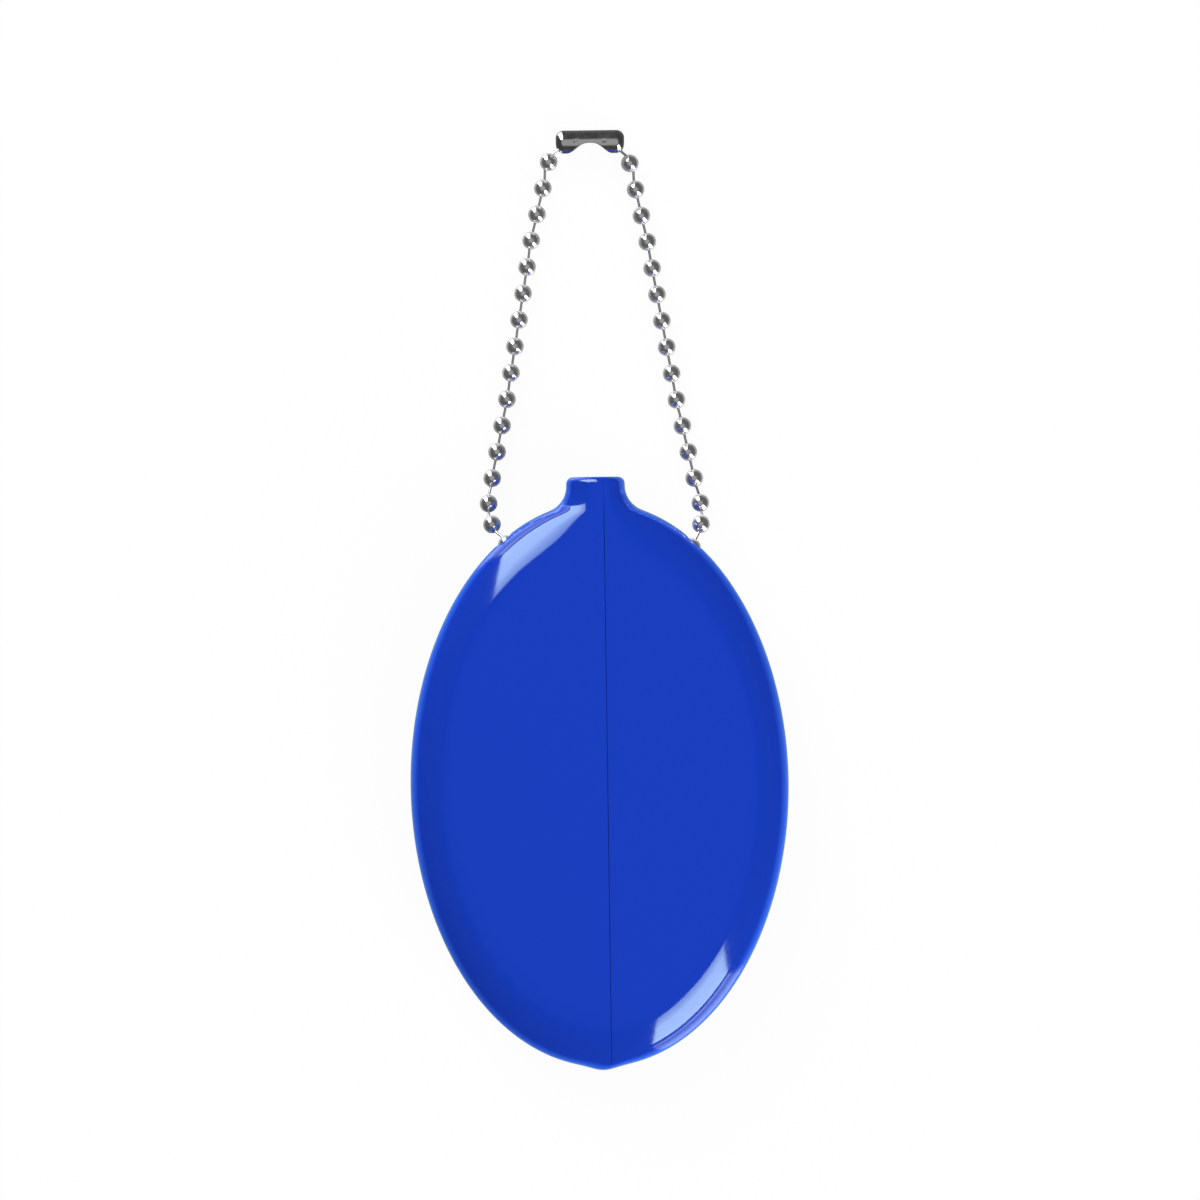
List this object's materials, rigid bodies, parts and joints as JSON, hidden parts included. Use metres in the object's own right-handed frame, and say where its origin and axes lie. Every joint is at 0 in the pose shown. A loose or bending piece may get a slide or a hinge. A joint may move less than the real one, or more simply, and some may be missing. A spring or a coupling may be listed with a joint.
{
  "type": "squeeze coin purse",
  "caption": "Oval vinyl squeeze coin purse with a slit mouth that opens when its ends are pressed, on a looped bead chain with a connector.",
  "frame": {"origin": "middle of the flat patch on the back that the purse rests on", "axes": "+Z out of the slit face, +Y from the tip to the neck and the chain, +X to the right of the slit face"},
  "size_m": [0.051, 0.127, 0.0126],
  "materials": {
    "vinyl": "glossy moulded vinyl",
    "steel": "bright nickel plate"
  },
  "bodies": {
    "purse": {"purse_back": "vinyl", "hole_beads": "steel", "hidden_beads": "steel", "hidden_links": "steel"},
    "left_lip": {"purse_left_lip": "vinyl"},
    "right_lip": {"purse_right_lip": "vinyl"},
    "row_15": {"links_15": "steel", "bead_left_15": "steel", "bead_right_15": "steel"},
    "row_14": {"links_14": "steel", "bead_left_14": "steel", "bead_right_14": "steel"},
    "row_13": {"links_13": "steel", "bead_left_13": "steel", "bead_right_13": "steel"},
    "row_12": {"links_12": "steel", "bead_left_12": "steel", "bead_right_12": "steel"},
    "row_11": {"links_11": "steel", "bead_left_11": "steel", "bead_right_11": "steel"},
    "row_10": {"links_10": "steel", "bead_left_10": "steel", "bead_right_10": "steel"},
    "row_09": {"links_09": "steel", "bead_left_09": "steel", "bead_right_09": "steel"},
    "row_08": {"links_08": "steel", "bead_left_08": "steel", "bead_right_08": "steel"},
    "row_07": {"links_07": "steel", "bead_left_07": "steel", "bead_right_07": "steel"},
    "row_06": {"links_06": "steel", "bead_left_06": "steel", "bead_right_06": "steel"},
    "row_05": {"links_05": "steel", "bead_left_05": "steel", "bead_right_05": "steel"},
    "row_04": {"links_04": "steel", "bead_left_04": "steel", "bead_right_04": "steel"},
    "row_03": {"links_03": "steel", "bead_left_03": "steel", "bead_right_03": "steel"},
    "row_02": {"links_02": "steel", "bead_left_02": "steel", "bead_right_02": "steel"},
    "row_01": {"links_01": "steel", "bead_left_01": "steel", "bead_right_01": "steel"},
    "end_row": {"end_links": "steel", "end_beads": "steel"},
    "connector": {"connector": "steel"}
  },
  "joints": [
    {"name": "left_lip_flex", "type": "hinge", "parent": "purse", "child": "left_lip", "pos_m": [-0.02508, 0, 0.0081], "axis": [0, -1, 0], "range_deg": [0, 30], "stiffness_Nm_per_rad": 0.05},
    {"name": "right_lip_flex", "type": "hinge", "parent": "purse", "child": "right_lip", "pos_m": [0.02508, 0, 0.0081], "axis": [0, 1, 0], "range_deg": [0, 30], "stiffness_Nm_per_rad": 0.05},
    {"name": "row_15_swing", "type": "hinge", "parent": "purse", "child": "row_15", "pos_m": [0.00038, 0.03315, 0.00577], "axis": [0.9996, -0.0269, 0], "range_deg": [-15, 20]},
    {"name": "row_14_swing", "type": "hinge", "parent": "row_15", "child": "row_14", "pos_m": [-0.00003, 0.03601, 0.00402], "axis": [-1, 0.0099, -0.0001], "range_deg": [-20, 12]},
    {"name": "row_13_swing", "type": "hinge", "parent": "row_14", "child": "row_13", "pos_m": [-0.00022, 0.03894, 0.00186], "axis": [-0.9999, 0.0113, -0.0001], "range_deg": [-20, 20]},
    {"name": "row_12_swing", "type": "hinge", "parent": "row_13", "child": "row_12", "pos_m": [-0.00031, 0.04243, 0.00116], "axis": [0.9999, -0.0138, 0], "range_deg": [-20, 20]},
    {"name": "row_11_swing", "type": "hinge", "parent": "row_12", "child": "row_11", "pos_m": [-0.00031, 0.04599, 0.00118], "axis": [0.9999, -0.0147, 0], "range_deg": [-20, 20]},
    {"name": "row_10_swing", "type": "hinge", "parent": "row_11", "child": "row_10", "pos_m": [-0.00034, 0.04953, 0.0012], "axis": [-0.9999, 0.0159, 0], "range_deg": [-20, 20]},
    {"name": "row_09_swing", "type": "hinge", "parent": "row_10", "child": "row_09", "pos_m": [-0.00035, 0.05308, 0.0012], "axis": [-0.9999, 0.0173, 0], "range_deg": [-20, 20]},
    {"name": "row_08_swing", "type": "hinge", "parent": "row_09", "child": "row_08", "pos_m": [-0.00036, 0.05666, 0.0012], "axis": [0.9998, -0.0183, 0], "range_deg": [-20, 20]},
    {"name": "row_07_swing", "type": "hinge", "parent": "row_08", "child": "row_07", "pos_m": [-0.00036, 0.06023, 0.0012], "axis": [0.9998, -0.0195, 0], "range_deg": [-20, 20]},
    {"name": "row_06_swing", "type": "hinge", "parent": "row_07", "child": "row_06", "pos_m": [-0.00037, 0.0638, 0.0012], "axis": [-0.9998, 0.0208, 0], "range_deg": [-20, 20]},
    {"name": "row_05_swing", "type": "hinge", "parent": "row_06", "child": "row_05", "pos_m": [-0.00038, 0.06736, 0.0012], "axis": [-0.9998, 0.0224, 0], "range_deg": [-20, 20]},
    {"name": "row_04_swing", "type": "hinge", "parent": "row_05", "child": "row_04", "pos_m": [-0.00038, 0.07093, 0.0012], "axis": [0.9997, -0.0241, 0], "range_deg": [-20, 20]},
    {"name": "row_03_swing", "type": "hinge", "parent": "row_04", "child": "row_03", "pos_m": [-0.00038, 0.0745, 0.0012], "axis": [0.9997, -0.026, 0], "range_deg": [-20, 20]},
    {"name": "row_02_swing", "type": "hinge", "parent": "row_03", "child": "row_02", "pos_m": [-0.00032, 0.07802, 0.0012], "axis": [-0.9996, 0.0271, 0], "range_deg": [-20, 20]},
    {"name": "row_01_swing", "type": "hinge", "parent": "row_02", "child": "row_01", "pos_m": [-0.00026, 0.08156, 0.0012], "axis": [-0.9996, 0.0286, 0], "range_deg": [-20, 20]},
    {"name": "end_row_swing", "type": "hinge", "parent": "row_01", "child": "end_row", "pos_m": [-0.0002, 0.085, 0.00127], "axis": [0.9996, -0.0299, -0.0001], "range_deg": [-20, 20]},
    {"name": "connector_roll", "type": "hinge", "parent": "end_row", "child": "connector", "pos_m": [-0.0001, 0.08672, 0.00165], "axis": [0.9998, -0.0174, 0], "range_deg": [-15, 15]}
  ],
  "couplings": [
    {"joint": "right_lip_flex", "follows": "left_lip_flex", "ratio": 1}
  ]
}
